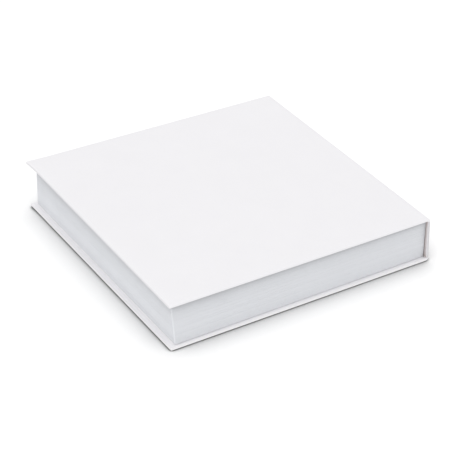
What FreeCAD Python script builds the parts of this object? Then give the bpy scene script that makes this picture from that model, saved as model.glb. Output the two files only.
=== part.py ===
import FreeCAD, Part
import os
import Sketcher

# A sticky note pad in a hard case. Three boards, the lid, the spine and the base, are covered by one sheet
# of white paper that is turned in over their edges, and lined inside by a second sheet. The block of notes
# is taped on the base. The case folds along two lines, one at each edge of the spine.
#
# Frame: +Z up, the spine at +X, the fore-edge at -X, head and tail at +Y and -Y. The origin is the middle of
# the underside. Lengths are in millimetres, angles in degrees.

SIZES = {
    "note_length": 100.6,  # the block, from the fore-edge to the spine
    "note_width": 102.0,  # the block, from head to tail
    "note_height": 15.0,  # the stack of sheets
    "note_corner": 0.5,  # radius of the block's upright corners
    "fore_square": 1.9,  # the case beyond the block at the fore-edge
    "side_square": 1.1,  # the case beyond the block at head and tail
    "spine_clearance": 0.25,  # between the block and the spine's liner
    "lid_clearance": 0.15,  # between the block and the lid's liner at the spine
    "board_thickness": 0.8,
    "paper_thickness": 0.15,  # the cover paper
    "liner_thickness": 0.12,
    "turn_in": 12.0,  # how far the cover paper comes round inside
    "liner_margin": 2.0,  # the turned-in paper that the liner leaves bare
    "fold_radius": 1.3,  # outside of the bend at each edge of the spine
    "edge_radius": 0.25,  # the paper's bend round the edges of a board
    "lid_lift": 0.72,  # how far the lid springs open by itself
    "tape_inset": 15.0,  # from the turned-in paper and from the block's spine side to the tape
}

PAPER = "Sizes.paper_thickness"
BOARD = "Sizes.board_thickness"
LINER = "Sizes.liner_thickness"
TURN_IN = "Sizes.turn_in"
MARGIN = "Sizes.liner_margin"
BEND = "Sizes.fold_radius"

STACK = f"(2 * {PAPER} + {BOARD} + {LINER})"  # a wall of the case: paper, board, turned-in paper and liner
LENGTH = f"(Sizes.fore_square + Sizes.note_length + Sizes.spine_clearance + {STACK})"
WIDTH = "(Sizes.note_width + 2 * Sizes.side_square)"
HEIGHT = f"(Sizes.note_height + Sizes.lid_clearance + 2 * {STACK})"

# The paper of a fold is as long when the case lies open as when it is shut, so each fold turns about a line
# this far below the outer faces on both sides of the bend.
AXIS = f"({BEND} * (1 - pi / 4))"

# Distances outward from the fold line, for a wall of the case.
OUTSIDE = AXIS
PAPER_BACK = f"({AXIS} - {PAPER})"
BOARD_BACK = f"({PAPER_BACK} - {BOARD})"
TURN_BACK = f"({BOARD_BACK} - {PAPER})"
LINER_BACK = f"({TURN_BACK} - {LINER})"
LINER_MIDDLE = f"({BOARD_BACK} - {LINER})"
BEND_CENTRE = f"({AXIS} - {BEND})"

# Distances along the lid or the base from the fold line, and along the spine from its middle.
FORE_EDGE = f"({AXIS} - {LENGTH})"
PANEL_LENGTH = f"({LENGTH} - {BEND})"
HALF_SPINE = f"({HEIGHT} / 2 - {BEND})"
HALF_WIDTH = f"({WIDTH} / 2)"

LID = 1
BASE = -1

doc = FreeCAD.newDocument("StickyNotePad")
sheet = doc.addObject("Spreadsheet::Sheet", "Sizes")
for row, (alias, value) in enumerate(SIZES.items(), start=1):
    sheet.set(f"A{row}", alias)
    sheet.set(f"B{row}", str(value))
    sheet.setAlias(f"B{row}", alias)
doc.recompute()

nodes = []


def number(formula):
    return float(sheet.evalExpression(formula))


def new_body(label):
    body = doc.addObject("PartDesign::Body", label)
    body.Label = label
    nodes.append(body)
    return body


def origin_plane(body, role):
    return next(feature for feature in body.Origin.OriginFeatures if feature.Role == role)


def draw(body, name, role, corners, bends=None, height="0"):
    """A closed outline through the corners. bends gives the centre and radius of each side that bends."""
    sketch = body.newObject("Sketcher::SketchObject", f"{body.Name}_{name}_outline")
    sketch.AttachmentSupport = [(origin_plane(body, role), "")]
    sketch.MapMode = "FlatFace"
    sketch.setExpression("AttachmentOffset.Base.z", height)
    bends = bends or {}
    points = [FreeCAD.Vector(number(x), number(y), 0) for x, y in corners]
    first_ends = []
    last_ends = []
    for index, start in enumerate(points):
        end = points[(index + 1) % len(points)]
        if index in bends:
            centre_x, centre_y, radius = bends[index]
            centre = FreeCAD.Vector(number(centre_x), number(centre_y), 0)
            towards = (start + end) * 0.5 - centre
            middle = centre + towards.normalize() * number(radius)
            sketch.addGeometry(Part.Arc(start, middle, end))
            first, last = sketch.getPoint(index, 1), sketch.getPoint(index, 2)
            turned = first.distanceToPoint(end) < last.distanceToPoint(end)
            sketch.addConstraint(Sketcher.Constraint("Radius", index, number(radius)))
            sketch.setExpression(f"Constraints[{sketch.ConstraintCount - 1}]", radius)
        else:
            sketch.addGeometry(Part.LineSegment(start, end))
            turned = False
        first_ends.append(2 if turned else 1)
        last_ends.append(1 if turned else 2)
    for index, (x, y) in enumerate(corners):
        before = (index - 1) % len(corners)
        meeting = Sketcher.Constraint("Coincident", before, last_ends[before], index, first_ends[index])
        sketch.addConstraint(meeting)
        for direction, formula in (("DistanceX", x), ("DistanceY", y)):
            place = Sketcher.Constraint(direction, -1, 1, index, first_ends[index], number(formula))
            sketch.addConstraint(place)
            sketch.setExpression(f"Constraints[{sketch.ConstraintCount - 1}]", formula)
    return sketch


def pad(body, name, sketch, length, side="One side"):
    feature = body.newObject("PartDesign::Pad", f"{body.Name}_{name}")
    feature.Profile = sketch
    feature.SideType = side
    feature.setExpression("Length", length)
    return feature


def pocket(body, name, sketch, length, reverse):
    feature = body.newObject("PartDesign::Pocket", f"{body.Name}_{name}")
    feature.Profile = sketch
    feature.Reversed = reverse
    feature.setExpression("Length", length)
    return feature


def mirror(body, name, features):
    """The same features at head as at tail."""
    feature = body.newObject("PartDesign::Mirrored", f"{body.Name}_{name}")
    feature.Originals = features
    feature.MirrorPlane = (origin_plane(body, "XZ_Plane"), [""])
    body.Tip = feature
    return feature


def round_edges(body, name, chosen, radius):
    doc.recompute()
    base = body.Tip
    edges = [f"Edge{count}" for count, edge in enumerate(base.Shape.Edges, start=1) if chosen(edge)]
    feature = body.newObject("PartDesign::Fillet", f"{body.Name}_{name}")
    feature.Base = (base, edges)
    feature.setExpression("Radius", radius)
    return feature


def rectangle(x_low, x_high, y_low, y_high):
    return [(x_low, y_low), (x_high, y_low), (x_high, y_high), (x_low, y_high)]


def place(body, x, z, turn=None):
    body.setExpression("Placement.Base.x", x)
    body.setExpression("Placement.Base.z", z)
    if turn:
        body.Placement.Rotation = FreeCAD.Rotation(FreeCAD.Vector(0, 1, 0), number(turn))
        body.setExpression("Placement.Rotation.Angle", turn)


def place_panel(body, side):
    """The lid and the base are drawn from their fold lines, which lie along Y."""
    x = f"{LENGTH} / 2 - {AXIS}"
    if side == LID:
        place(body, x, f"{HEIGHT} - {AXIS}", "Sizes.lid_lift")
    else:
        place(body, x, AXIS)


def along_bend(radius, across, outward):
    """The point of a bend halfway round, where the sheet is shared between its two walls."""
    reach = f"({radius}) * cos(45)"
    return f"{across} + {reach}", f"{outward} + {reach}"


def where_two_meet(faces):
    """Chooses the straight edges where two of the given faces meet: each is an axis and a place on it."""

    def chosen(edge):
        if not isinstance(edge.Curve, Part.Line):
            return False
        box = edge.BoundBox
        on = 0
        for axis, formula in faces:
            low, high = getattr(box, f"{axis}Min"), getattr(box, f"{axis}Max")
            wanted = number(formula)
            on += abs(low - wanted) < 1e-4 and abs(high - wanted) < 1e-4
        return on == 2

    return chosen


def add_cover_paper(label, side):
    """The cover paper of the lid or the base: the outer field, the turned-in edges and half of the fold."""
    body = new_body(label)

    def out(distance):
        return f"{side} * ({distance})"

    panel_end = BEND_CENTRE
    bend_outside = along_bend(BEND, panel_end, BEND_CENTRE)
    bend_inside = along_bend(f"{BEND} - {PAPER}", panel_end, BEND_CENTRE)
    bend_doubled = along_bend(f"{BEND} - 2 * {PAPER}", panel_end, BEND_CENTRE)

    section = [
        (FORE_EDGE, out(OUTSIDE)),
        (panel_end, out(OUTSIDE)),
        (bend_outside[0], out(bend_outside[1])),
        (bend_inside[0], out(bend_inside[1])),
        (panel_end, out(PAPER_BACK)),
        (f"{FORE_EDGE} + {PAPER}", out(PAPER_BACK)),
        (f"{FORE_EDGE} + {PAPER}", out(BOARD_BACK)),
        (f"{FORE_EDGE} + {TURN_IN}", out(BOARD_BACK)),
        (f"{FORE_EDGE} + {TURN_IN}", out(TURN_BACK)),
        (FORE_EDGE, out(TURN_BACK)),
    ]
    bends = {
        1: (panel_end, out(BEND_CENTRE), BEND),
        3: (panel_end, out(BEND_CENTRE), f"{BEND} - {PAPER}"),
    }
    sketch = draw(body, "sheet", "XZ_Plane", section, bends)
    pad(body, "sheet", sketch, WIDTH, "Symmetric")

    tail_section = [
        (f"-{HALF_WIDTH}", out(OUTSIDE)),
        (f"-{HALF_WIDTH} + {PAPER}", out(OUTSIDE)),
        (f"-{HALF_WIDTH} + {PAPER}", out(BOARD_BACK)),
        (f"-{HALF_WIDTH} + {TURN_IN}", out(BOARD_BACK)),
        (f"-{HALF_WIDTH} + {TURN_IN}", out(TURN_BACK)),
        (f"-{HALF_WIDTH}", out(TURN_BACK)),
    ]
    sketch = draw(body, "turn_in", "YZ_Plane", tail_section, height=FORE_EDGE)
    turn_in = pad(body, "turn_in", sketch, PANEL_LENGTH)

    doubled_section = [
        (panel_end, out(PAPER_BACK)),
        (bend_inside[0], out(bend_inside[1])),
        (bend_doubled[0], out(bend_doubled[1])),
        (panel_end, out(f"{PAPER_BACK} - {PAPER}")),
    ]
    doubled_bends = {
        0: (panel_end, out(BEND_CENTRE), f"{BEND} - {PAPER}"),
        2: (panel_end, out(BEND_CENTRE), f"{BEND} - 2 * {PAPER}"),
    }
    start = f"{HALF_WIDTH} - {TURN_IN}"
    sketch = draw(body, "fold_turn_in", "XZ_Plane", doubled_section, doubled_bends, height=start)
    fold_turn_in = pad(body, "fold_turn_in", sketch, TURN_IN)
    mirror(body, "head", [turn_in, fold_turn_in])

    faces = [
        ("X", FORE_EDGE),
        ("Y", f"-{HALF_WIDTH}"),
        ("Y", HALF_WIDTH),
        ("Z", out(OUTSIDE)),
        ("Z", out(TURN_BACK)),
    ]
    round_edges(body, "edges", where_two_meet(faces), "Sizes.edge_radius")
    place_panel(body, side)


def add_board(label, side):
    """The board of the lid or the base, in the pocket that the cover paper leaves."""
    body = new_body(label)
    outline = rectangle(
        f"{FORE_EDGE} + {PAPER}", BEND_CENTRE, f"-{HALF_WIDTH} + {PAPER}", f"{HALF_WIDTH} - {PAPER}"
    )
    lower_face = BOARD_BACK if side == LID else f"-{PAPER_BACK}"
    sketch = draw(body, "board", "XY_Plane", outline, height=lower_face)
    pad(body, "board", sketch, BOARD)
    place_panel(body, side)


def add_liner(label, side):
    """The liner of the lid or the base: on the turned-in paper at the edges, on the board in the middle."""
    body = new_body(label)

    def out(distance):
        return f"{side} * ({distance})"

    step = f"{FORE_EDGE} + {TURN_IN}"
    panel_end = BEND_CENTRE

    edge_outline = rectangle(
        f"{FORE_EDGE} + {MARGIN}", panel_end, f"-{HALF_WIDTH} + {MARGIN}", f"{HALF_WIDTH} - {MARGIN}"
    )
    lower_face = LINER_BACK if side == LID else f"-{TURN_BACK}"
    sketch = draw(body, "edges", "XY_Plane", edge_outline, height=lower_face)
    pad(body, "edges", sketch, LINER)

    middle_outline = rectangle(step, panel_end, f"-{HALF_WIDTH} + {TURN_IN}", f"{HALF_WIDTH} - {TURN_IN}")
    lower_face = TURN_BACK if side == LID else f"-{BOARD_BACK}"
    sketch = draw(body, "middle", "XY_Plane", middle_outline, height=lower_face)
    pad(body, "middle", sketch, PAPER)

    hollow_outline = rectangle(
        f"{step} + {LINER}",
        panel_end,
        f"-{HALF_WIDTH} + {TURN_IN} + {LINER}",
        f"{HALF_WIDTH} - {TURN_IN} - {LINER}",
    )
    sketch = draw(body, "hollow", "XY_Plane", hollow_outline, height=out(LINER_BACK))
    pocket(body, "hollow", sketch, PAPER, reverse=side == LID)

    radius = f"({BEND} - {PAPER} - {LINER})"
    outer = along_bend(f"{BEND} - {PAPER}", panel_end, BEND_CENTRE)
    inner = along_bend(radius, panel_end, BEND_CENTRE)
    lip = f"{BEND_CENTRE} + sqrt({radius} * {radius} - {LINER} * {LINER})"
    fold_section = [
        (panel_end, out(PAPER_BACK)),
        (outer[0], out(outer[1])),
        (inner[0], out(inner[1])),
        (f"{panel_end} + {LINER}", out(lip)),
        (f"{panel_end} + {LINER}", out(LINER_MIDDLE)),
        (panel_end, out(LINER_MIDDLE)),
    ]
    fold_bends = {
        0: (panel_end, out(BEND_CENTRE), f"{BEND} - {PAPER}"),
        2: (panel_end, out(BEND_CENTRE), radius),
    }
    sketch = draw(body, "fold", "XZ_Plane", fold_section, fold_bends)
    pad(body, "fold", sketch, f"{WIDTH} - 2 * {TURN_IN}", "Symmetric")
    place_panel(body, side)


def place_spine(body):
    place(body, f"{LENGTH} / 2 - {AXIS}", f"{HEIGHT} / 2")


def add_spine_cover_paper():
    """The cover paper of the spine, with its halves of both folds."""
    body = new_body("spine_cover_paper")

    def bend_points(radius):
        return along_bend(radius, BEND_CENTRE, HALF_SPINE)

    outside = bend_points(BEND)
    inside = bend_points(f"{BEND} - {PAPER}")
    doubled = bend_points(f"{BEND} - 2 * {PAPER}")
    section = [
        (OUTSIDE, f"-{HALF_SPINE}"),
        (OUTSIDE, HALF_SPINE),
        outside,
        inside,
        (PAPER_BACK, HALF_SPINE),
        (PAPER_BACK, f"-{HALF_SPINE}"),
        (inside[0], f"-({inside[1]})"),
        (outside[0], f"-({outside[1]})"),
    ]
    bends = {
        1: (BEND_CENTRE, HALF_SPINE, BEND),
        3: (BEND_CENTRE, HALF_SPINE, f"{BEND} - {PAPER}"),
        5: (BEND_CENTRE, f"-{HALF_SPINE}", f"{BEND} - {PAPER}"),
        7: (BEND_CENTRE, f"-{HALF_SPINE}", BEND),
    }
    sketch = draw(body, "sheet", "XZ_Plane", section, bends)
    pad(body, "sheet", sketch, WIDTH, "Symmetric")

    tail_section = [
        (OUTSIDE, f"-{HALF_WIDTH}"),
        (OUTSIDE, f"-{HALF_WIDTH} + {PAPER}"),
        (BOARD_BACK, f"-{HALF_WIDTH} + {PAPER}"),
        (BOARD_BACK, f"-{HALF_WIDTH} + {TURN_IN}"),
        (TURN_BACK, f"-{HALF_WIDTH} + {TURN_IN}"),
        (TURN_BACK, f"-{HALF_WIDTH}"),
    ]
    sketch = draw(body, "turn_in", "XY_Plane", tail_section, height=f"-{HALF_SPINE}")
    copies = [pad(body, "turn_in", sketch, f"2 * {HALF_SPINE}")]

    for name, sign in (("upper", 1), ("lower", -1)):
        doubled_section = [
            (PAPER_BACK, f"{sign} * ({HALF_SPINE})"),
            (inside[0], f"{sign} * ({inside[1]})"),
            (doubled[0], f"{sign} * ({doubled[1]})"),
            (f"{PAPER_BACK} - {PAPER}", f"{sign} * ({HALF_SPINE})"),
        ]
        doubled_bends = {
            0: (BEND_CENTRE, f"{sign} * {HALF_SPINE}", f"{BEND} - {PAPER}"),
            2: (BEND_CENTRE, f"{sign} * {HALF_SPINE}", f"{BEND} - 2 * {PAPER}"),
        }
        start = f"{HALF_WIDTH} - {TURN_IN}"
        sketch = draw(body, f"{name}_fold", "XZ_Plane", doubled_section, doubled_bends, height=start)
        copies.append(pad(body, f"{name}_fold", sketch, TURN_IN))
    mirror(body, "head", copies)

    faces = [("Y", f"-{HALF_WIDTH}"), ("Y", HALF_WIDTH), ("X", OUTSIDE), ("X", TURN_BACK)]
    round_edges(body, "edges", where_two_meet(faces), "Sizes.edge_radius")
    place_spine(body)


def add_spine_board():
    body = new_body("spine_board")
    outline = rectangle(BOARD_BACK, PAPER_BACK, f"-{HALF_WIDTH} + {PAPER}", f"{HALF_WIDTH} - {PAPER}")
    sketch = draw(body, "board", "XY_Plane", outline, height=f"-{HALF_SPINE}")
    pad(body, "board", sketch, f"2 * {HALF_SPINE}")
    place_spine(body)


def add_spine_liner():
    body = new_body("spine_liner")
    section = [
        (TURN_BACK, f"-{HALF_WIDTH} + {MARGIN}"),
        (LINER_BACK, f"-{HALF_WIDTH} + {MARGIN}"),
        (LINER_BACK, f"-{HALF_WIDTH} + {TURN_IN} + {LINER}"),
        (LINER_MIDDLE, f"-{HALF_WIDTH} + {TURN_IN} + {LINER}"),
        (LINER_MIDDLE, f"{HALF_WIDTH} - {TURN_IN} - {LINER}"),
        (LINER_BACK, f"{HALF_WIDTH} - {TURN_IN} - {LINER}"),
        (LINER_BACK, f"{HALF_WIDTH} - {MARGIN}"),
        (TURN_BACK, f"{HALF_WIDTH} - {MARGIN}"),
        (TURN_BACK, f"{HALF_WIDTH} - {TURN_IN}"),
        (BOARD_BACK, f"{HALF_WIDTH} - {TURN_IN}"),
        (BOARD_BACK, f"-{HALF_WIDTH} + {TURN_IN}"),
        (TURN_BACK, f"-{HALF_WIDTH} + {TURN_IN}"),
    ]
    sketch = draw(body, "sheet", "XY_Plane", section, height=f"-{HALF_SPINE}")
    pad(body, "sheet", sketch, f"2 * {HALF_SPINE}")

    radius = f"({BEND} - {PAPER} - {LINER})"
    outer = along_bend(f"{BEND} - {PAPER}", BEND_CENTRE, HALF_SPINE)
    inner = along_bend(radius, BEND_CENTRE, HALF_SPINE)
    lip = f"{BEND_CENTRE} + sqrt({radius} * {radius} - {LINER} * {LINER})"
    for name, sign in (("upper", 1), ("lower", -1)):
        fold_section = [
            (PAPER_BACK, f"{sign} * {HALF_SPINE}"),
            (outer[0], f"{sign} * ({outer[1]})"),
            (inner[0], f"{sign} * ({inner[1]})"),
            (lip, f"{sign} * ({HALF_SPINE} + {LINER})"),
            (LINER_MIDDLE, f"{sign} * ({HALF_SPINE} + {LINER})"),
            (LINER_MIDDLE, f"{sign} * {HALF_SPINE}"),
        ]
        fold_bends = {
            0: (BEND_CENTRE, f"{sign} * {HALF_SPINE}", f"{BEND} - {PAPER}"),
            2: (BEND_CENTRE, f"{sign} * {HALF_SPINE}", radius),
        }
        sketch = draw(body, f"{name}_fold", "XZ_Plane", fold_section, fold_bends)
        pad(body, f"{name}_fold", sketch, f"{WIDTH} - 2 * {TURN_IN}", "Symmetric")
    place_spine(body)


def add_note_block():
    """The stack of sheets, flush on its four sides, with its foot on the base's liner."""
    body = new_body("note_block")
    low = "-Sizes.note_length / 2"
    high = "Sizes.note_length / 2"
    outline = rectangle(low, high, "-Sizes.note_width / 2", "Sizes.note_width / 2")
    sketch = draw(body, "stack", "XY_Plane", outline)
    pad(body, "stack", sketch, "Sizes.note_height")
    faces = [("X", low), ("X", high), ("Y", "-Sizes.note_width / 2"), ("Y", "Sizes.note_width / 2")]
    round_edges(body, "corners", where_two_meet(faces), "Sizes.note_corner")
    place(body, f"-{LENGTH} / 2 + Sizes.fore_square + Sizes.note_length / 2", STACK)


def add_fixing_tape():
    """Double-sided tape in the shallow recess between the turned-in edges, under the middle of the block."""
    body = new_body("fixing_tape")
    inset = f"({TURN_IN} + {LINER} + Sizes.tape_inset)"
    outline = rectangle(
        f"-{LENGTH} / 2 + {inset}",
        f"-{LENGTH} / 2 + Sizes.fore_square + Sizes.note_length - Sizes.tape_inset",
        f"-{HALF_WIDTH} + {inset}",
        f"{HALF_WIDTH} - {inset}",
    )
    sketch = draw(body, "tape", "XY_Plane", outline)
    pad(body, "tape", sketch, PAPER)
    place(body, "0", f"{STACK} - {PAPER}")


add_cover_paper("base_cover_paper", BASE)
add_board("base_board", BASE)
add_liner("base_liner", BASE)
add_spine_cover_paper()
add_spine_board()
add_spine_liner()
add_cover_paper("lid_cover_paper", LID)
add_board("lid_board", LID)
add_liner("lid_liner", LID)
add_note_block()
add_fixing_tape()

doc.recompute()
for item in doc.Objects:
    if "Invalid" in item.State or "Error" in item.State:
        raise RuntimeError(f"{item.Label} did not build: {item.State}")
for node in nodes:
    if node.Shape.isNull() or not node.Shape.isValid():
        raise RuntimeError(f"{node.Label} has no valid shape")
    if len(node.Shape.Solids) != 1:
        raise RuntimeError(f"{node.Label} is not one solid")

os.makedirs("parts", exist_ok=True)
for node in nodes:
    node.Shape.exportStep(f"parts/{node.Label}.step")
    box = node.Shape.BoundBox
    print(
        f"{node.Label}: {node.Shape.Volume:.1f} mm3, x {box.XMin:.2f}..{box.XMax:.2f}, "
        f"y {box.YMin:.2f}..{box.YMax:.2f}, z {box.ZMin:.2f}..{box.ZMax:.2f}"
    )
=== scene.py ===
import math
import random

import bmesh
import bpy
from mathutils import Matrix, Vector


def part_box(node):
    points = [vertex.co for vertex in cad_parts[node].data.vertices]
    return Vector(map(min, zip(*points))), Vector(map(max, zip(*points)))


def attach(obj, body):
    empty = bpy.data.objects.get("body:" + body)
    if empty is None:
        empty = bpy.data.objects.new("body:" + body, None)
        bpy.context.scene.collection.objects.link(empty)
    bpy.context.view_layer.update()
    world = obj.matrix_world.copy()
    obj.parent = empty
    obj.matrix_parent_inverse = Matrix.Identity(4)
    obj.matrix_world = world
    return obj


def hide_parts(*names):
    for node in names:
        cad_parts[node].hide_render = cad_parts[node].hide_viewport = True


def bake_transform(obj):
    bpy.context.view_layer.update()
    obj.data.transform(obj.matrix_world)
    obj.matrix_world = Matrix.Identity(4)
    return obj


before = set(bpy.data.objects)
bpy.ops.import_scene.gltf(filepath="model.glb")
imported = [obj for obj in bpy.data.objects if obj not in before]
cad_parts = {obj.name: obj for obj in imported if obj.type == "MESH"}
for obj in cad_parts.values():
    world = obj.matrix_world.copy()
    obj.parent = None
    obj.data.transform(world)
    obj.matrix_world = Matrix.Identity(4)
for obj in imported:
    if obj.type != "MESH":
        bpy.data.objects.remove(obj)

mm = 0.001
cutReach = 1e-7  # points nearer than this to a cut, or to each other, count as one
aligned = 0.99  # two directions whose product is more than this are the same
random.seed(7)
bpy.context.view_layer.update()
scene = bpy.context.scene

# The case is measured on the frame. The lid is modelled shut and flat, and a lattice lifts it later.
baseLow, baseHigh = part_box("base_cover_paper")
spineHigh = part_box("spine_cover_paper")[1]
spineBoardLow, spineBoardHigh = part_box("spine_board")
blockLow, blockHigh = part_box("note_block")

case = {
    "paper": 0.15 * mm,
    "liner": 0.12 * mm,
    "turnIn": 12 * mm,
    "linerMargin": 2 * mm,
    "linerSlope": 0.5 * mm,  # where the liner steps down from the turned-in paper to the board
    "foldRadius": 1.3 * mm,
    "foldSteps": 14,
    "foldThickness": 0.3 * mm,
    "foldEnd": 1.5 * mm,  # at head and tail the paper is gathered in the fold and fills it
    "foldEndThickness": 1.05 * mm,
    "cornerRadius": 0.55 * mm,  # the corners of the case, seen from above
    "outerRadius": 0.5 * mm,  # where the paper goes round the outer edge of a board
    "innerRadius": 0.22 * mm,
    "edgeSteps": 6,
    "boardRadius": 0.36 * mm,
    "boardSteps": 3,
    "endRadius": 0.16 * mm,  # where it goes round the end of a board, inside the fold
    "endSteps": 2,
    "spare": 4 * mm,  # cut off again
}
wall = baseHigh.z  # paper, board and turned-in paper
foreX = baseLow.x
spineX = spineHigh.x
halfWidth = spineHigh.y
foldX = spineX - case["foldRadius"]  # the flat of the lid and of the base ends here
lowerFoldZ = spineBoardLow.z
upperFoldZ = spineBoardHigh.z
topZ = upperFoldZ + case["foldRadius"]


# Modelling helpers

def deselectAll():
    bpy.ops.object.select_all(action="DESELECT")


def makeActive(piece):
    deselectAll()
    piece.select_set(True)
    bpy.context.view_layer.objects.active = piece


def placePrimitive(name, low, high, turn=(0, 0, 0), flat=False):
    # a unit cube or plane, stretched from corner to corner
    deselectAll()
    low = Vector(low)
    high = Vector(high)
    if flat:
        bpy.ops.mesh.primitive_plane_add(size=1, location=(0, 0, 0))
    else:
        bpy.ops.mesh.primitive_cube_add(size=1, location=(0, 0, 0))
    piece = bpy.context.object
    piece.name = name
    piece.data.name = name
    piece.rotation_euler = turn
    bpy.ops.object.transform_apply(location=False, rotation=True, scale=False)
    size = high - low
    piece.scale = [length if length > 0 else 1 for length in size]
    piece.location = (low + high) / 2
    bpy.ops.object.transform_apply(location=True, rotation=False, scale=True)
    return piece


def edit(piece, mode="FACE"):
    makeActive(piece)
    bpy.ops.object.mode_set(mode="EDIT")
    bpy.ops.mesh.select_mode(type=mode)
    bpy.ops.mesh.select_all(action="DESELECT")


def finishEdit():
    bpy.ops.object.mode_set(mode="OBJECT")


def select(piece, kind, test):
    # test gets the point of a vertex, both ends of an edge, or the middle and normal of a face
    bpy.ops.mesh.select_all(action="DESELECT")
    shape = bmesh.from_edit_mesh(piece.data)
    if kind == "VERT":
        for vertex in shape.verts:
            vertex.select_set(bool(test(vertex.co)))
    elif kind == "EDGE":
        for edge in shape.edges:
            edge.select_set(bool(test(edge.verts[0].co, edge.verts[1].co)))
    else:
        for face in shape.faces:
            face.select_set(bool(test(face.calc_center_median(), face.normal)))
    bmesh.update_edit_mesh(piece.data)


def near(value, wanted, reach=2e-6):
    return abs(value - wanted) < reach


def cutAt(piece, axis, cuts):
    # one straight cut through the whole piece at each place along an axis
    edit(piece)
    for place in cuts:
        bpy.ops.mesh.select_all(action="SELECT")
        at = Vector((0, 0, 0))
        at[axis] = place
        normal = Vector((0, 0, 0))
        normal[axis] = 1
        bpy.ops.mesh.bisect(plane_co=at, plane_no=normal, threshold=cutReach)
    finishEdit()


def evenly(low, high, step):
    count = max(2, round((high - low) / step))
    return [low + (high - low) * index / count for index in range(1, count)]


def applyModifier(piece, modifier):
    makeActive(piece)
    bpy.ops.object.modifier_apply(modifier=modifier.name)


def mergeAndTurnOut(piece):
    edit(piece)
    bpy.ops.mesh.select_all(action="SELECT")
    bpy.ops.mesh.remove_doubles(threshold=cutReach)
    bpy.ops.mesh.normals_make_consistent(inside=False)
    finishEdit()


def smooth(piece, angle=30):
    makeActive(piece)
    bpy.ops.object.shade_smooth_by_angle(angle=math.radians(angle))


# Cover paper

def wrapBoard(name, low, high, inward, folds, opening):
    # A sheet wrapped round a board. inward is the side that faces the notes and folds are the sides where the
    # sheet runs on round a fold. opening is what the turned-in edges leave bare.
    inward = Vector(inward)
    folds = [Vector(side) for side in folds]
    low = Vector(low)
    high = Vector(high)
    longLow = low.copy()
    longHigh = high.copy()
    for side in folds:
        if sum(side) > 0:
            longHigh += side * case["spare"]
        else:
            longLow += side * case["spare"]
    piece = placePrimitive(name, longLow, longHigh)
    middle = (longLow + longHigh) / 2
    half = (longHigh - longLow) / 2

    def onSide(point, side):
        return near((point - middle).dot(side), half.dot(Vector([abs(part) for part in side])))

    def atFold(a, b):
        return any(onSide(a, side) and onSide(b, side) for side in folds)

    def roundEdges(test, radius):
        edit(piece, "EDGE")
        select(piece, "EDGE", lambda a, b: test(a, b) and not atFold(a, b))
        bpy.ops.mesh.bevel(offset=radius, segments=case["edgeSteps"], affect="EDGES")
        finishEdit()

    if len(folds) == 1:
        roundEdges(lambda a, b: abs((a - b).normalized().dot(inward)) > aligned, case["cornerRadius"])
    roundEdges(lambda a, b: onSide(a, -inward) and onSide(b, -inward), case["outerRadius"])
    roundEdges(lambda a, b: onSide(a, inward) and onSide(b, inward), case["innerRadius"])
    for side in folds:
        end = high if sum(side) > 0 else low
        edit(piece)
        bpy.ops.mesh.select_all(action="SELECT")
        bpy.ops.mesh.bisect(
            plane_co=end, plane_no=side, use_fill=True, clear_outer=True, threshold=cutReach
        )
        bpy.ops.mesh.select_all(action="DESELECT")
        select(piece, "EDGE", lambda a, b: near((a - end).dot(side), 0) and near((b - end).dot(side), 0))
        bpy.ops.mesh.select_mode(type="EDGE")
        bpy.ops.mesh.bevel(offset=case["endRadius"], segments=case["endSteps"], affect="EDGES")
        finishEdit()

    openLow, openHigh = Vector(opening[0]), Vector(opening[1])
    across = [axis for axis in range(3) if not inward[axis]]
    for axis in across:
        cuts = (openLow[axis], openHigh[axis])
        cutAt(piece, axis, [place for place in cuts if low[axis] < place < high[axis]])
    edit(piece)
    select(piece, "FACE", lambda centre, normal: normal.dot(inward) > aligned and all(
        openLow[axis] < centre[axis] < openHigh[axis] for axis in across
    ))
    bpy.ops.mesh.delete(type="FACE")
    finishEdit()
    return piece


def giveThickness(piece, thickness):
    sheet = piece.modifiers.new("sheet", "SOLIDIFY")
    sheet.thickness = thickness
    sheet.offset = -1
    sheet.use_even_offset = True
    applyModifier(piece, sheet)


inset = case["turnIn"]
endX = foldX + case["paper"]
linerZ = wall + case["liner"]

openY = halfWidth - inset  # the turned-in edges leave the board bare up to here
panelOpening = ((foreX + inset, -openY, 0), (foldX - case["endRadius"], openY, 0))
spineOpening = ((0, -openY, lowerFoldZ + case["endRadius"]), (0, openY, upperFoldZ - case["endRadius"]))
lidWrap = wrapBoard(
    "lidWrap", (foreX, -halfWidth, topZ - wall), (endX, halfWidth, topZ),
    (0, 0, -1), [(1, 0, 0)], panelOpening,
)
baseWrap = wrapBoard(
    "baseWrap", (foreX, -halfWidth, 0), (endX, halfWidth, wall),
    (0, 0, 1), [(1, 0, 0)], panelOpening,
)
spineWrap = wrapBoard(
    "spineWrap", (spineX - wall, -halfWidth, lowerFoldZ - case["paper"]),
    (spineX, halfWidth, upperFoldZ + case["paper"]), (-1, 0, 0), [(0, 0, 1), (0, 0, -1)], spineOpening,
)
for piece in (lidWrap, baseWrap, spineWrap):
    giveThickness(piece, case["paper"])
print("cover paper wrapped")


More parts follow.
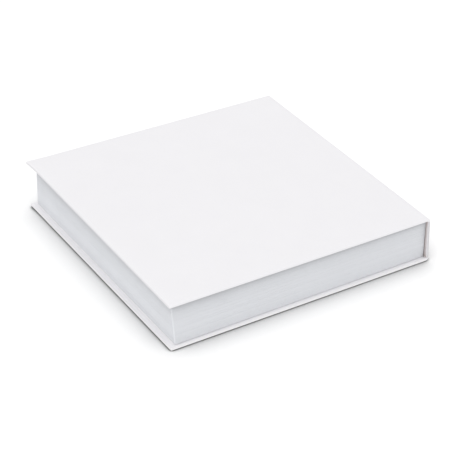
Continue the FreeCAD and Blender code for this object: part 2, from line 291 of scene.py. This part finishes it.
def foldStrip(name, depth, thickness, reach, corner, upper):
    # a strip of sheet round a fold: depth is how far its outside lies below the face of the case
    outZ = topZ if upper else 0
    up = 1 if upper else -1
    deepest = case["foldEndThickness"] if corner else depth + thickness
    levels = sorted((outZ - up * deepest, outZ - up * depth))
    strip = placePrimitive(
        name, (foldX, -reach, levels[0]), (foldX, reach, levels[1]), turn=(0, math.pi / 2, 0), flat=True
    )
    if corner:
        edit(strip, "VERT")
        select(strip, "VERT", lambda point: near(point.z, outZ))
        bpy.ops.mesh.bevel(offset=corner, segments=case["edgeSteps"], affect="VERTICES")
        finishEdit()
        # the thick part is left only at head and tail
        within = reach - case["foldEnd"]
        cutAt(strip, 1, (-within, within))
        cutAt(strip, 2, (outZ - up * thickness,))
        edit(strip)
        select(strip, "FACE", lambda centre, normal: (
            abs(centre.y) < within and abs(centre.z - outZ) > thickness
        ))
        bpy.ops.mesh.delete(type="FACE")
        finishEdit()
    edit(strip)
    bpy.ops.mesh.select_all(action="SELECT")
    bpy.ops.mesh.spin(
        steps=case["foldSteps"], angle=math.pi / 2,
        center=(foldX, 0, upperFoldZ if upper else lowerFoldZ), axis=(0, -up, 0),
    )
    finishEdit()
    mergeAndTurnOut(strip)
    return strip


thick = case["foldThickness"]
upperFold = foldStrip("upperFold", 0, thick, halfWidth, case["outerRadius"], True)
lowerFold = foldStrip("lowerFold", 0, thick, halfWidth, case["outerRadius"], False)
linerReach = halfWidth - case["linerMargin"]
upperFoldLiner = foldStrip("upperFoldLiner", thick, case["liner"], linerReach, 0, True)
lowerFoldLiner = foldStrip("lowerFoldLiner", thick, case["liner"], linerReach, 0, False)
print("folds made")


# Liner and board

def linePanel(name, low, high, inward):
    # A sheet pasted over the turned-in edges and, past a small step, on the board itself.
    inward = Vector(inward)
    piece = placePrimitive(name, low, high)
    slope = case["linerSlope"]
    step = foreX + inset
    hasForeEdge = inward.z != 0  # the lid and the base have one, the spine has none
    cutAt(piece, 1, (-openY, -openY + slope, openY - slope, openY))
    if hasForeEdge:
        cutAt(piece, 0, (step, step + slope))
    edit(piece, "VERT")
    select(piece, "VERT", lambda point: abs(point.y) < openY - slope + cutReach and (
        not hasForeEdge or point.x > step + slope - cutReach
    ))
    bpy.ops.transform.translate(value=-inward * case["paper"])
    finishEdit()
    return piece


linerX = foreX + case["linerMargin"]
spineInX = spineX - wall
lidLiner = linePanel(
    "lidLiner", (linerX, -linerReach, topZ - linerZ), (foldX, linerReach, topZ - wall), (0, 0, -1)
)
baseLiner = linePanel("baseLiner", (linerX, -linerReach, wall), (foldX, linerReach, linerZ), (0, 0, 1))
spineLiner = linePanel(
    "spineLiner", (spineInX - case["liner"], -linerReach, lowerFoldZ), (spineInX, linerReach, upperFoldZ),
    (-1, 0, 0),
)


def cutBoard(name, low, high):
    # a board with its edges pressed round by the paper
    board = placePrimitive(name, low, high)
    edit(board, "EDGE")
    bpy.ops.mesh.select_all(action="SELECT")
    bpy.ops.mesh.bevel(offset=case["boardRadius"], segments=case["boardSteps"], affect="EDGES")
    finishEdit()
    return board


boardLow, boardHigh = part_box("base_board")
baseBoard = cutBoard("baseBoard", boardLow, boardHigh)
lidBoard = cutBoard(
    "lidBoard", (boardLow.x, boardLow.y, topZ - boardHigh.z), (boardHigh.x, boardHigh.y, topZ - boardLow.z)
)
spineBoard = cutBoard("spineBoard", spineBoardLow, spineBoardHigh)
print("liner and boards made")


# Note block

notes = {
    "sheets": 150,
    "cornerRadius": 0.45 * mm,
    "cornerSteps": 4,
    "spineRadius": 0.15 * mm,  # the corners beside the spine
    "spineSteps": 2,
    "slip": 0.006 * mm,  # how far one sheet lies out of line
    "bundleSlip": 0.02 * mm,  # how far a bundle does
    "bundle": 11,  # one sheet in this many starts a bundle
    # how far each corner of the stack has slipped, by its side along X, Y and Z
    "slipped": {
        (0, 0, 0): (0.3 * mm, 0, 0), (1, 0, 0): (0.22 * mm, 0, 0),
        (0, 1, 0): (0.16 * mm, 0, 0), (1, 1, 0): (0.2 * mm, 0, 0),
        (0, 0, 1): (-0.75 * mm, 0.4 * mm, 0), (1, 0, 1): (0.2 * mm, -0.3 * mm, 0),
        (0, 1, 1): (0.65 * mm, 0.3 * mm, 0), (1, 1, 1): (0, 0, 0),
    },
}


def stackSheets():
    sheet = (blockHigh.z - blockLow.z) / notes["sheets"]
    stack = placePrimitive(
        "noteStack", (blockLow.x, blockLow.y, blockLow.z), (blockHigh.x, blockHigh.y, blockLow.z), flat=True
    )
    edit(stack, "VERT")
    select(stack, "VERT", lambda point: near(point.x, blockLow.x))
    bpy.ops.mesh.bevel(offset=notes["cornerRadius"], segments=notes["cornerSteps"], affect="VERTICES")
    select(stack, "VERT", lambda point: near(point.x, blockHigh.x))
    bpy.ops.mesh.bevel(offset=notes["spineRadius"], segments=notes["spineSteps"], affect="VERTICES")
    bpy.ops.mesh.select_mode(type="FACE")
    bpy.ops.mesh.select_all(action="SELECT")
    atX = 0
    atY = 0
    for number in range(notes["sheets"]):
        bpy.ops.mesh.extrude_region_move(TRANSFORM_OT_translate={"value": (0, 0, sheet)})
        if number + 1 == notes["sheets"]:
            break
        bundle = notes["bundleSlip"] if random.random() < 1 / notes["bundle"] else 0
        toX = random.gauss(0, notes["slip"]) + random.uniform(-bundle, bundle)
        toY = random.gauss(0, notes["slip"]) + random.uniform(-bundle, bundle)
        bpy.ops.mesh.extrude_region_move(TRANSFORM_OT_translate={"value": (toX - atX, toY - atY, 0)})
        atX, atY = toX, toY
    finishEdit()
    mergeAndTurnOut(stack)
    return stack


noteStack = stackSheets()
print("notes stacked")


# The lid springs open and is a little twisted, and the stack leans at one corner.

def bendInLattice(pieces, low, high, moves):
    # moves gives how far each corner of the box goes, by its side (0 or 1) along X, Y and Z
    deselectAll()
    low = Vector(low)
    high = Vector(high)
    bpy.ops.object.add(type="LATTICE", location=(low + high) / 2)
    cage = bpy.context.object
    cage.scale = high - low
    cage.data.points_u = cage.data.points_v = cage.data.points_w = 2
    for way in ("interpolation_type_u", "interpolation_type_v", "interpolation_type_w"):
        setattr(cage.data, way, "KEY_LINEAR")
    size = high - low
    for (sideX, sideY, sideZ), move in moves.items():
        point = cage.data.points[sideX + 2 * sideY + 4 * sideZ]
        point.co_deform = point.co_deform + Vector([move[axis] / size[axis] for axis in range(3)])
    bpy.context.view_layer.update()
    for piece in pieces:
        bend = piece.modifiers.new("bend", "LATTICE")
        bend.object = cage
        applyModifier(piece, bend)
    makeActive(cage)
    bpy.ops.object.delete()


# how far each corner of the lid goes, by its side along X and Y
lidMoves = {
    (0, 0): (-0.40 * mm, -0.22 * mm, 0.77 * mm),  # fore-edge, near corner
    (0, 1): (-0.28 * mm, 0, 1.90 * mm),  # fore-edge, far corner
    (1, 0): (0, 0, 0),  # spine
    (1, 1): (0, 0, 0),
}
# the worn far corners stick out: how far their tips go, and from how far in
lidTip = (-0.9 * mm, 0.1 * mm, 0.3 * mm)
baseTip = (-0.3 * mm, 0.1 * mm, 0.35 * mm)
tipReach = 6 * mm
tipMargin = (0.75 * mm, 1 * mm)  # how far the cage of a tip reaches past the case, along X and Y
# at the tail the ends of the folds are a little out of square, at the base and at the lid
tailSkew = 4 * mm
baseSkew = (0.15 * mm, -0.5 * mm, 0)
lidSkew = (-0.15 * mm, -0.25 * mm, -0.2 * mm)
lidGrid = 4 * mm  # between the cuts that let the lid twist
lidPieces = (lidWrap, lidLiner, lidBoard)
basePieces = (baseWrap, baseLiner, baseBoard)
spinePieces = (spineWrap, spineLiner, spineBoard)
for piece in lidPieces:
    cutAt(piece, 0, evenly(foreX, foldX, lidGrid))
    cutAt(piece, 1, evenly(-halfWidth, halfWidth, lidGrid))
for piece in basePieces:
    cutAt(piece, 0, (foreX + tipReach / 2, foreX + tipReach))
    cutAt(piece, 1, (halfWidth - tipReach, halfWidth - tipReach / 2))
bendInLattice(
    (*lidPieces, upperFold, upperFoldLiner, *spinePieces),
    (foreX, -halfWidth, topZ - tailSkew), (spineX, halfWidth, topZ), {(1, 0, 1): lidSkew},
)
bendInLattice(
    (*basePieces, lowerFold, lowerFoldLiner, *spinePieces),
    (foreX, -halfWidth, 0), (spineX, halfWidth, tailSkew), {(1, 0, 0): baseSkew},
)
bendInLattice(
    lidPieces, (foreX, -halfWidth, topZ / 2), (foldX, halfWidth, topZ - linerZ),
    {(sideX, sideY, 1): move for (sideX, sideY), move in lidMoves.items()},
)
for pieces, tip in ((lidPieces, lidTip), (basePieces, baseTip)):
    bendInLattice(
        pieces, (foreX - tipMargin[0], halfWidth - tipReach, 0),
        (foreX + tipReach, halfWidth + tipMargin[1], topZ),
        {(0, 1, 0): tip, (0, 1, 1): tip},
    )
bendInLattice((noteStack,), blockLow, blockHigh, notes["slipped"])
print("lid lifted")

for piece in (*lidPieces, *basePieces, *spinePieces, upperFold, lowerFold, upperFoldLiner, lowerFoldLiner):
    smooth(piece)
smooth(noteStack, 20)


# Materials

def newMaterial(name):
    material = bpy.data.materials.new(name)
    material.use_nodes = True
    tree = material.node_tree
    return material, tree.nodes, tree.links, tree.nodes["Principled BSDF"]


def calculate(tree, operation, *values):
    # a Math node whose inputs are the given sockets and numbers
    node = tree.nodes.new("ShaderNodeMath")
    node.operation = operation
    for socket, value in zip(node.inputs, values):
        if isinstance(value, (int, float)):
            socket.default_value = value
        else:
            tree.links.new(value, socket)
    return node.outputs[0]


def multiplyColours(tree, first, second):
    node = tree.nodes.new("ShaderNodeMix")
    node.data_type = "RGBA"
    node.blend_type = "MULTIPLY"
    node.inputs["Factor"].default_value = 1
    for socket, value in ((node.inputs["A"], first), (node.inputs["B"], second)):
        if isinstance(value, tuple):
            socket.default_value = value
        else:
            tree.links.new(value, socket)
    return node.outputs["Result"]


def toneWhere(tree, amount, low, high, tone):
    # 1 where the amount is low, and the tone where it is high
    node = tree.nodes.new("ShaderNodeMapRange")
    node.inputs["From Min"].default_value = low
    node.inputs["From Max"].default_value = high
    node.inputs["To Min"].default_value = 1
    node.inputs["To Max"].default_value = tone
    tree.links.new(amount, node.inputs["Value"])
    return node.outputs["Result"]


warmBlue = 1.4  # how much more blue than green a warm shade loses


def fillRamp(ramp, steps, paintedShadeWarmth=0):
    # steps are places and greys of painted shade, and the warmth takes green and blue from the dark ones
    while len(ramp.elements) < len(steps):
        ramp.elements.new(1)
    for element, (place, grey) in zip(ramp.elements, steps):
        element.position = place
        taken = paintedShadeWarmth * (1 - grey)
        element.color = (grey, grey - taken, grey - warmBlue * taken, 1)


mottleScale = 90
openSamples = 12


def makePaperGroup():
    # fibres and cloudy mottle of a sheet of paper: a factor for its colour and a height for its bump
    group = bpy.data.node_groups.new("paperSurface", "ShaderNodeTree")
    for name, value in (("Mottle", 0.01), ("Fibre", 0.01), ("Fibre Scale", 3000.0)):
        socket = group.interface.new_socket(name, in_out="INPUT", socket_type="NodeSocketFloat")
        socket.default_value = value
    group.interface.new_socket("Shade", in_out="OUTPUT", socket_type="NodeSocketFloat")
    group.interface.new_socket("Height", in_out="OUTPUT", socket_type="NodeSocketFloat")
    nodes = group.nodes
    links = group.links
    entry = nodes.new("NodeGroupInput")
    leave = nodes.new("NodeGroupOutput")
    place = nodes.new("ShaderNodeTexCoord")
    cloud = nodes.new("ShaderNodeTexNoise")
    cloud.inputs["Scale"].default_value = mottleScale
    cloud.inputs["Detail"].default_value = 5
    fibre = nodes.new("ShaderNodeTexNoise")
    fibre.inputs["Detail"].default_value = 3
    fibre.inputs["Distortion"].default_value = 0.6
    links.new(place.outputs["Object"], cloud.inputs["Vector"])
    links.new(place.outputs["Object"], fibre.inputs["Vector"])
    links.new(entry.outputs["Fibre Scale"], fibre.inputs["Scale"])

    def centred(texture, amount):
        return calculate(group, "MULTIPLY", calculate(group, "SUBTRACT", texture.outputs["Fac"], 0.5), amount)

    clouds = centred(cloud, entry.outputs["Mottle"])
    fibres = centred(fibre, entry.outputs["Fibre"])
    shade = calculate(group, "ADD", calculate(group, "ADD", clouds, fibres), 1)
    links.new(shade, leave.inputs["Shade"])
    links.new(fibre.outputs["Fac"], leave.inputs["Height"])
    return group


# painted shade in creases: how dark the colour is made for how open the space over it is, as openness and
# shade
noPaintedShade = ((0.5, 1), (1, 1))
edgePaintedShade = ((0.35, 0.9), (0.6, 1))
spineGapPaintedShade = ((0.4, 0.58), (0.6, 0.72), (0.8, 0.86), (0.95, 1))
underLidPaintedShade = ((0.42, 0.66), (0.56, 0.73), (0.61, 0.8), (0.65, 0.89), (0.685, 0.955), (0.72, 1))


def makeOpenSpaceGroup():
    # how open the space over a surface is; Lean turns the look from straight out towards the sky
    group = bpy.data.node_groups.new("openSpace", "ShaderNodeTree")
    for name, value in (("Reach", 4 * mm), ("Lean", 0.0)):
        socket = group.interface.new_socket(name, in_out="INPUT", socket_type="NodeSocketFloat")
        socket.default_value = value
    group.interface.new_socket("Open", in_out="OUTPUT", socket_type="NodeSocketFloat")
    nodes = group.nodes
    links = group.links
    entry = nodes.new("NodeGroupInput")
    leave = nodes.new("NodeGroupOutput")
    surface = nodes.new("ShaderNodeNewGeometry")
    upward = nodes.new("ShaderNodeCombineXYZ")
    links.new(entry.outputs["Lean"], upward.inputs["Z"])
    leaning = nodes.new("ShaderNodeVectorMath")
    links.new(surface.outputs["Normal"], leaning.inputs[0])
    links.new(upward.outputs["Vector"], leaning.inputs[1])
    straight = nodes.new("ShaderNodeVectorMath")
    straight.operation = "NORMALIZE"
    links.new(leaning.outputs["Vector"], straight.inputs[0])
    space = nodes.new("ShaderNodeAmbientOcclusion")
    space.samples = openSamples
    links.new(entry.outputs["Reach"], space.inputs["Distance"])
    links.new(straight.outputs["Vector"], space.inputs["Normal"])
    links.new(space.outputs["AO"], leave.inputs["Open"])
    return group


# from where to where a face counts as square to an axis, and as slanting at an upright corner, for painted
# light and shade by the way a face points
squarely = (0.5, 0.9)
slantwise = (0.1, 0.35)


def makePaper(name, finish):
    material, nodes, links, shader = newMaterial(name)
    surface = nodes.new("ShaderNodeGroup")
    surface.node_tree = paperSurface
    surface.inputs["Mottle"].default_value = finish["mottle"]
    surface.inputs["Fibre"].default_value = finish["fibre"]
    surface.inputs["Fibre Scale"].default_value = finish["fibreScale"]
    tree = material.node_tree
    tint = multiplyColours(tree, (*finish["colour"], 1), surface.outputs["Shade"])
    place = nodes.new("ShaderNodeTexCoord")
    facing = nodes.new("ShaderNodeSeparateXYZ")
    links.new(place.outputs["Normal"], facing.inputs["Vector"])
    sideways = calculate(tree, "ABSOLUTE", facing.outputs["X"])
    across = calculate(tree, "ABSOLUTE", facing.outputs["Y"])
    cornerward = calculate(tree, "MULTIPLY", sideways, across)

    # painted shade in creases: the colour is darkened where the space over the surface is closed, deeper on
    # faces across X
    space = nodes.new("ShaderNodeGroup")
    space.node_tree = openSpace
    space.inputs["Reach"].default_value, space.inputs["Lean"].default_value = finish["space"]
    openness = calculate(tree, "MULTIPLY_ADD", sideways, -finish["sidePaintedShadeDepth"], space.outputs["Open"])
    paintedCreaseShade = nodes.new("ShaderNodeValToRGB")
    fillRamp(paintedCreaseShade.color_ramp, finish["paintedCreaseShade"], finish["paintedShadeWarmth"])
    links.new(openness, paintedCreaseShade.inputs["Fac"])

    # painted light and shade: faces are made darker or lighter by the way they point
    endPaintedLightTone = toneWhere(tree, across, *squarely, finish["endPaintedLightTone"])
    sidePaintedLightTone = toneWhere(tree, sideways, *squarely, finish["sidePaintedLightTone"])
    cornerPaintedHighlightTone = toneWhere(tree, cornerward, *slantwise, finish["cornerPaintedHighlightTone"])
    tone = calculate(tree, "MULTIPLY", calculate(tree, "MULTIPLY", endPaintedLightTone, sidePaintedLightTone), cornerPaintedHighlightTone)
    shaded = multiplyColours(tree, tint, paintedCreaseShade.outputs["Color"])
    links.new(multiplyColours(tree, shaded, tone), shader.inputs["Base Color"])
    bump = nodes.new("ShaderNodeBump")
    bump.inputs["Strength"].default_value = finish["bump"]
    bump.inputs["Distance"].default_value = finish["depth"]
    links.new(surface.outputs["Height"], bump.inputs["Height"])
    links.new(bump.outputs["Normal"], shader.inputs["Normal"])
    shader.inputs["Roughness"].default_value = finish["roughness"]
    shader.inputs["Specular IOR Level"].default_value = finish["specular"]
    return material


paperSurface = makePaperGroup()
openSpace = makeOpenSpaceGroup()
# space is how far, and how much towards the sky, a surface looks for creases to darken with painted shade.
# The warm setting tints that painted shade brown, and the side setting makes it deeper on faces across X.
# The tones for faces across Y, faces across X and upright corners are painted light and shade, darker
# or lighter by the way a face points, fitted to how bright the photo is there.
plainFinish = {
    "paintedCreaseShade": noPaintedShade, "space": (1 * mm, 0), "paintedShadeWarmth": 0, "sidePaintedShadeDepth": 0,
    "endPaintedLightTone": 1, "sidePaintedLightTone": 1, "cornerPaintedHighlightTone": 1,
}
coverFinish = {
    **plainFinish, "colour": (0.794, 0.785, 0.804), "mottle": 0.03, "fibre": 0.02, "fibreScale": 2500,
    "bump": 0.3, "depth": 0.02 * mm, "roughness": 0.6, "specular": 0.3, "paintedCreaseShade": edgePaintedShade,
}
# lit and shaded copies of the cover paper: the lid's sides get painted shade, and the base's paper is painted
# lighter, with painted shade on its sides and ends
lidFinish = {**coverFinish, "sidePaintedLightTone": 0.88}
baseFinish = {**coverFinish, "colour": (0.85, 0.84, 0.858), "endPaintedLightTone": 0.95, "sidePaintedLightTone": 0.82}
# painted shade: the ends of the spine paper are greyer, and the gap at the spine gets a deeper, warm painted
# shade
spineFinish = {**coverFinish, "endPaintedLightTone": 0.77, "paintedCreaseShade": spineGapPaintedShade, "space": (3 * mm, 0), "paintedShadeWarmth": 0.18}
linerFinish = {
    **plainFinish, "colour": (0.86, 0.855, 0.86), "mottle": 0.04, "fibre": 0.04, "fibreScale": 1800,
    "bump": 0.4, "depth": 0.02 * mm, "roughness": 0.85, "specular": 0.2, "paintedCreaseShade": edgePaintedShade,
}
boardFinish = {
    **plainFinish, "colour": (0.42, 0.4, 0.37), "mottle": 0.2, "fibre": 0.3, "fibreScale": 1500,
    "bump": 0.6, "depth": 0.05 * mm, "roughness": 0.95, "specular": 0.1,
}
tapeFinish = {
    **plainFinish, "colour": (0.8, 0.76, 0.66), "mottle": 0.05, "fibre": 0.05, "fibreScale": 2500,
    "bump": 0.3, "depth": 0.02 * mm, "roughness": 0.5, "specular": 0.4,
}
# the sheets are darker than the cover: partly the grey look of cut sheet edges, partly painted shade of the
# block's sides. Under the lid they get painted shade, deeper on faces across X, and the upright corners get a
# painted highlight
notesFinish = {
    **plainFinish, "colour": (0.675, 0.686, 0.712), "mottle": 0.05, "fibre": 0.03, "fibreScale": 1500,
    "bump": 0.3, "depth": 0.02 * mm, "roughness": 0.85, "specular": 0.15,
    "paintedCreaseShade": underLidPaintedShade, "space": (10 * mm, 1), "sidePaintedShadeDepth": 0.05,
    "endPaintedLightTone": 0.995, "sidePaintedLightTone": 1.02, "cornerPaintedHighlightTone": 1.07,
}
coverPaper = makePaper("coverPaper", coverFinish)
lidPaper = makePaper("lidPaper", lidFinish)
basePaper = makePaper("basePaper", baseFinish)
spinePaper = makePaper("spinePaper", spineFinish)
linerPaper = makePaper("linerPaper", linerFinish)
greyBoard = makePaper("greyBoard", boardFinish)
fixingTape = makePaper("fixingTape", tapeFinish)
cutSheets = makePaper("cutSheets", notesFinish)


def paint(piece, material):
    piece.data.materials.clear()
    piece.data.materials.append(material)


for piece, paper in (
    (lidWrap, lidPaper), (spineWrap, spinePaper), (baseWrap, basePaper),
    (upperFold, coverPaper), (lowerFold, coverPaper),
):
    paint(piece, paper)
for piece in (lidLiner, spineLiner, baseLiner, upperFoldLiner, lowerFoldLiner):
    paint(piece, linerPaper)
for piece in (lidBoard, spineBoard, baseBoard):
    paint(piece, greyBoard)
paint(noteStack, cutSheets)
paint(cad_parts["fixing_tape"], fixingTape)
print("materials given")


# What each piece stands for and moves with

for piece, node, body in (
    (lidWrap, "lid_cover_paper", "lid"), (spineWrap, "spine_cover_paper", "spine"),
    (baseWrap, "base_cover_paper", "base"), (lidLiner, "lid_liner", "lid"),
    (spineLiner, "spine_liner", "spine"), (baseLiner, "base_liner", "base"),
    (lidBoard, "lid_board", "lid"), (spineBoard, "spine_board", "spine"), (baseBoard, "base_board", "base"),
    (noteStack, "note_block", "base"),
):
    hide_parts(node)
    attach(piece, body)
for piece in (upperFold, upperFoldLiner):
    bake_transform(piece)
for piece in (lowerFold, lowerFoldLiner):
    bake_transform(piece)


# Camera

view = {
    "turn": math.radians(-31.22),  # from straight in front of the tail
    "height": math.radians(32.90),
    "distance": 629.7 * mm,
    "aim": Vector((0, 0, 8 * mm)),
    "aside": 1.82 * mm,
    "above": -5.83 * mm,
    "lens": 137.65,
    "sensor": 36,
    "nearest": 0.01,
    "farthest": 20,
}


def placeCamera():
    turn, height = view["turn"], view["height"]
    back = Vector((math.sin(turn) * math.cos(height), -math.cos(turn) * math.cos(height), math.sin(height)))
    right = Vector((math.cos(turn), math.sin(turn), 0))
    up = back.cross(right)
    bpy.ops.object.camera_add()
    camera = bpy.context.object
    camera.name = "camera"
    camera.data.lens = view["lens"]
    camera.data.sensor_width = view["sensor"]
    camera.location = view["aim"] + back * view["distance"] + right * view["aside"] + up * view["above"]
    camera.rotation_mode = "QUATERNION"
    camera.rotation_quaternion = Matrix((right, up, back)).transposed().to_quaternion()
    camera.data.clip_start = view["nearest"]
    camera.data.clip_end = view["farthest"]
    scene.camera = camera


placeCamera()


# Light, floor and background

studio = {
    "sky": 1.0,
    "floorSize": 6,
    "floorBounce": 0.93,  # what the floor gives back to the pad
    "shadeReach": 12 * mm,
    # painted shadow on the floor, seen by the camera only: how bright the floor is for how much open space it
    # has above it
    "shade": (
        (0.3, 0.2), (0.5, 0.45), (0.545, 0.58), (0.565, 0.64), (0.59, 0.69), (0.63, 0.745), (0.68, 0.81),
        (0.75, 0.88), (0.86, 0.95), (1.0, 1.0),
    ),
    # a tighter painted contact shadow at the foot of the pad
    "contactReach": 1.7 * mm,
    "contact": ((0.3, 0.2), (0.5, 0.33), (0.62, 0.55), (0.74, 0.8), (0.84, 0.94), (0.95, 1.0)),
}
# Each lamp is a soft panel that looks at the pad: where it stands, its width and height, and its watts.
lamps = {
    "backSoftbox": {"place": Vector((0.17, 0.28, 1.15)), "size": (0.64, 0.64), "power": 0.8},
    "frontSoftbox": {"place": Vector((-0.46, -0.46, 0.93)), "size": (0.7, 0.7), "power": 0.6},
    "sideCard": {"place": Vector((-2.0, -1.2, 0.7)), "size": (2.2, 1.1), "power": 8},
}


def makeWorld():
    world = bpy.data.worlds.new("studio")
    scene.world = world
    world.use_nodes = True
    nodes = world.node_tree.nodes
    links = world.node_tree.links
    background = nodes["Background"]
    background.inputs["Color"].default_value = (1, 1, 1, 1)
    path = nodes.new("ShaderNodeLightPath")
    strength = nodes.new("ShaderNodeMix")
    strength.inputs["A"].default_value = studio["sky"]
    strength.inputs["B"].default_value = 1
    links.new(path.outputs["Is Camera Ray"], strength.inputs["Factor"])
    links.new(strength.outputs["Result"], background.inputs["Strength"])


def addLamp(name, lamp):
    bpy.ops.object.light_add(type="AREA", location=lamp["place"])
    light = bpy.context.object
    light.name = name
    light.data.shape = "ELLIPSE"
    light.data.size, light.data.size_y = lamp["size"]
    light.data.energy = lamp["power"]
    light.rotation_mode = "QUATERNION"
    light.rotation_quaternion = lamp["place"].to_track_quat("Z", "Y")


def addFloor():
    deselectAll()
    bpy.ops.mesh.primitive_plane_add(size=studio["floorSize"])
    floor = bpy.context.object
    floor.name = "floor"
    material, nodes, links, shader = newMaterial("whiteFloorPaintedShadow")
    shades = []
    # painted shadow on the floor, darker where the space above it is closed
    for part in ("shade", "contact"):
        space = nodes.new("ShaderNodeGroup")
        space.node_tree = openSpace
        space.inputs["Reach"].default_value = studio[part + "Reach"]
        shade = nodes.new("ShaderNodeValToRGB")
        fillRamp(shade.color_ramp, studio[part])
        links.new(space.outputs["Open"], shade.inputs["Fac"])
        shades.append(shade.outputs["Color"])
    both = multiplyColours(material.node_tree, *shades)
    # the camera sees the painted shadow, and other rays see the plain floor
    path = nodes.new("ShaderNodeLightPath")
    colour = nodes.new("ShaderNodeMix")
    colour.data_type = "RGBA"
    colour.inputs["A"].default_value = [studio["floorBounce"]] * 3 + [1]
    links.new(path.outputs["Is Camera Ray"], colour.inputs["Factor"])
    links.new(both, colour.inputs["B"])
    links.new(colour.outputs["Result"], shader.inputs["Base Color"])
    shader.inputs["Roughness"].default_value = 1
    shader.inputs["Specular IOR Level"].default_value = 0
    paint(floor, material)


makeWorld()
for name, lamp in lamps.items():
    addLamp(name, lamp)
addFloor()
scene.view_settings.view_transform = "Standard"
print("studio lit")
